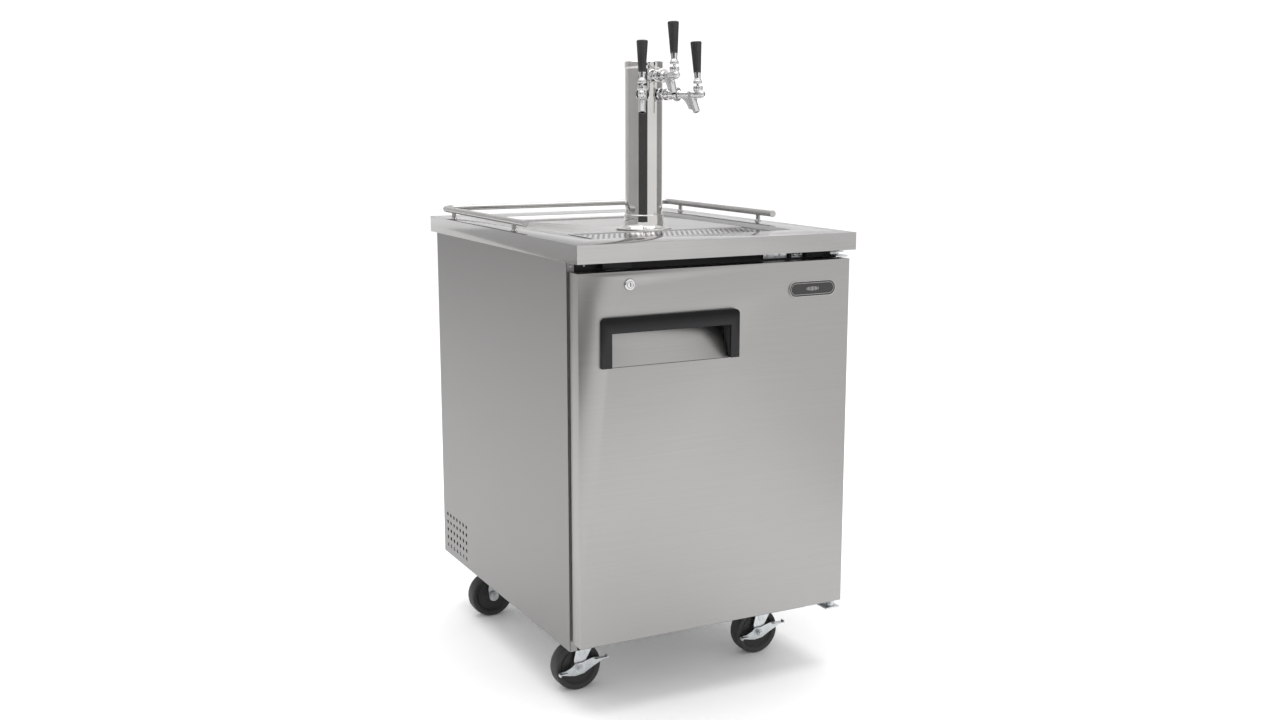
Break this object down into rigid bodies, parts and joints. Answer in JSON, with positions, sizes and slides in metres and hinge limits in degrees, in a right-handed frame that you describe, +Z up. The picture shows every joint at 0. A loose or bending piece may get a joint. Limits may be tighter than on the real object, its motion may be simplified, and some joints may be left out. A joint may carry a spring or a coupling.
{
  "type": "kegerator",
  "caption": "Refrigerated keg cabinet on braked casters with a hinged locking door, a railed worktop with a drip area, and a column tower with taps.",
  "frame": {"origin": "on the floor under the middle of the worktop's outline", "axes": "+Z up, -Y towards the door (front), +X to the right as seen from the front"},
  "size_m": [0.6, 0.784, 1.3007],
  "materials": {
    "cabinet_steel": "brushed stainless sheet, horizontal grain",
    "worktop_steel": "polished stainless sheet",
    "tower_steel": "polished stainless tube",
    "tap_chrome": "mirror chrome plate",
    "rail_steel": "satin stainless tube",
    "galvanised_sheet": "galvanised sheet with a spangle",
    "zinc_steel": "zinc-plated pressed steel",
    "black_plastic": "fine-grained moulded black",
    "badge_black": "smooth black",
    "gasket_rubber": "matt black elastomer",
    "wheel_tread": "hard black rubber, scuffed",
    "liner_plastic": "white moulded liner",
    "foam": "rigid foam, cut face",
    "black_enamel": "satin black enamel",
    "coil_metal": "finned coil"
  },
  "bodies": {
    "cabinet": {"left_side_panel": "cabinet_steel", "right_side_panel": "cabinet_steel", "back_panel": "galvanised_sheet", "rear_grille": "galvanised_sheet", "base_pan": "galvanised_sheet", "front_frame": "black_enamel", "inner_liner": "liner_plastic", "insulation": "foam", "worktop": "worktop_steel", "drip_pan": "worktop_steel", "drip_grille": "worktop_steel", "guard_rail": "rail_steel", "tower_column": "tower_steel", "tower_cap": "tower_steel", "tap_shank_left": "tap_chrome", "tap_shank_centre": "tap_chrome", "tap_shank_right": "tap_chrome", "faucet_body_left": "tap_chrome", "faucet_body_centre": "tap_chrome", "faucet_body_right": "tap_chrome", "upper_hinge_bracket": "zinc_steel", "lower_hinge_bracket": "zinc_steel", "lock_strike": "black_enamel", "compressor": "black_enamel", "condenser": "coil_metal", "evaporator_cover": "liner_plastic", "evaporator_coil": "coil_metal", "thermostat_housing": "liner_plastic", "power_inlet": "black_plastic", "caster_plate_front_left": "zinc_steel", "caster_plate_front_right": "zinc_steel", "caster_plate_rear_left": "zinc_steel", "caster_plate_rear_right": "zinc_steel"},
    "door": {"door_skin": "cabinet_steel", "door_liner": "liner_plastic", "door_gasket": "gasket_rubber", "door_handle": "black_plastic", "handle_pocket": "cabinet_steel", "lock_body": "tap_chrome", "badge": "badge_black"},
    "lock": {"lock_cylinder": "tap_chrome"},
    "tap_left": {"tap_lever_left": "tap_chrome", "tap_handle_left": "black_plastic"},
    "tap_centre": {"tap_lever_centre": "tap_chrome", "tap_handle_centre": "black_plastic"},
    "tap_right": {"tap_lever_right": "tap_chrome", "tap_handle_right": "black_plastic"},
    "caster_front_left": {"caster_fork_front_left": "zinc_steel"},
    "wheel_front_left": {"caster_wheel_front_left": "wheel_tread"},
    "brake_front_left": {"brake_lever_front_left": "zinc_steel"},
    "caster_front_right": {"caster_fork_front_right": "zinc_steel"},
    "wheel_front_right": {"caster_wheel_front_right": "wheel_tread"},
    "brake_front_right": {"brake_lever_front_right": "zinc_steel"},
    "caster_rear_left": {"caster_fork_rear_left": "zinc_steel"},
    "wheel_rear_left": {"caster_wheel_rear_left": "wheel_tread"},
    "caster_rear_right": {"caster_fork_rear_right": "zinc_steel"},
    "wheel_rear_right": {"caster_wheel_rear_right": "wheel_tread"},
    "condenser_fan": {"condenser_fan": "black_plastic"},
    "evaporator_fan": {"evaporator_fan": "black_plastic"},
    "thermostat": {"thermostat_knob": "black_plastic"}
  },
  "joints": [
    {"name": "door_hinge", "type": "hinge", "parent": "cabinet", "child": "door", "pos_m": [0.281, -0.3625, 0.5], "axis": [0, 0, 1], "range_deg": [0, 120]},
    {"name": "lock_turn", "type": "hinge", "parent": "door", "child": "lock", "pos_m": [-0.19, -0.37, 0.822], "axis": [0, 1, 0], "range_deg": [0, 90]},
    {"name": "tap_left_pull", "type": "hinge", "parent": "cabinet", "child": "tap_left", "pos_m": [-0.06206, -0.18195, 1.173], "axis": [0.8746, -0.4848, 0], "range_deg": [0, 35]},
    {"name": "tap_centre_pull", "type": "hinge", "parent": "cabinet", "child": "tap_centre", "pos_m": [0, -0.198, 1.209], "axis": [1, 0, 0], "range_deg": [0, 35]},
    {"name": "tap_right_pull", "type": "hinge", "parent": "cabinet", "child": "tap_right", "pos_m": [0.06206, -0.18195, 1.173], "axis": [0.8746, 0.4848, 0], "range_deg": [0, 35]},
    {"name": "swivel_front_left", "type": "hinge", "parent": "cabinet", "child": "caster_front_left", "pos_m": [-0.208, -0.227, 0.118], "axis": [0, 0, 1], "continuous": true},
    {"name": "roll_front_left", "type": "hinge", "parent": "caster_front_left", "child": "wheel_front_left", "pos_m": [-0.235, -0.227, 0.049], "axis": [0, 1, 0], "continuous": true},
    {"name": "brake_front_left_press", "type": "hinge", "parent": "caster_front_left", "child": "brake_front_left", "pos_m": [-0.235, -0.249, 0.049], "axis": [0, 1, 0], "range_deg": [0, 16]},
    {"name": "swivel_front_right", "type": "hinge", "parent": "cabinet", "child": "caster_front_right", "pos_m": [0.208, -0.227, 0.118], "axis": [0, 0, 1], "continuous": true},
    {"name": "roll_front_right", "type": "hinge", "parent": "caster_front_right", "child": "wheel_front_right", "pos_m": [0.181, -0.227, 0.049], "axis": [0, 1, 0], "continuous": true},
    {"name": "brake_front_right_press", "type": "hinge", "parent": "caster_front_right", "child": "brake_front_right", "pos_m": [0.181, -0.249, 0.049], "axis": [0, 1, 0], "range_deg": [0, 16]},
    {"name": "swivel_rear_left", "type": "hinge", "parent": "cabinet", "child": "caster_rear_left", "pos_m": [-0.208, 0.235, 0.118], "axis": [0, 0, 1], "continuous": true},
    {"name": "roll_rear_left", "type": "hinge", "parent": "caster_rear_left", "child": "wheel_rear_left", "pos_m": [-0.235, 0.235, 0.049], "axis": [0, 1, 0], "continuous": true},
    {"name": "swivel_rear_right", "type": "hinge", "parent": "cabinet", "child": "caster_rear_right", "pos_m": [0.208, 0.235, 0.118], "axis": [0, 0, 1], "continuous": true},
    {"name": "roll_rear_right", "type": "hinge", "parent": "caster_rear_right", "child": "wheel_rear_right", "pos_m": [0.181, 0.235, 0.049], "axis": [0, 1, 0], "continuous": true},
    {"name": "condenser_fan_spin", "type": "hinge", "parent": "cabinet", "child": "condenser_fan", "pos_m": [0.128, 0.236, 0.2188], "axis": [1, 0, 0], "continuous": true},
    {"name": "evaporator_fan_spin", "type": "hinge", "parent": "cabinet", "child": "evaporator_fan", "pos_m": [0, 0.249, 0.676], "axis": [0, 1, 0], "continuous": true},
    {"name": "thermostat_turn", "type": "hinge", "parent": "cabinet", "child": "thermostat", "pos_m": [0.205, -0.224, 0.8047], "axis": [0, -1, 0], "range_deg": [0, 280]}
  ]
}
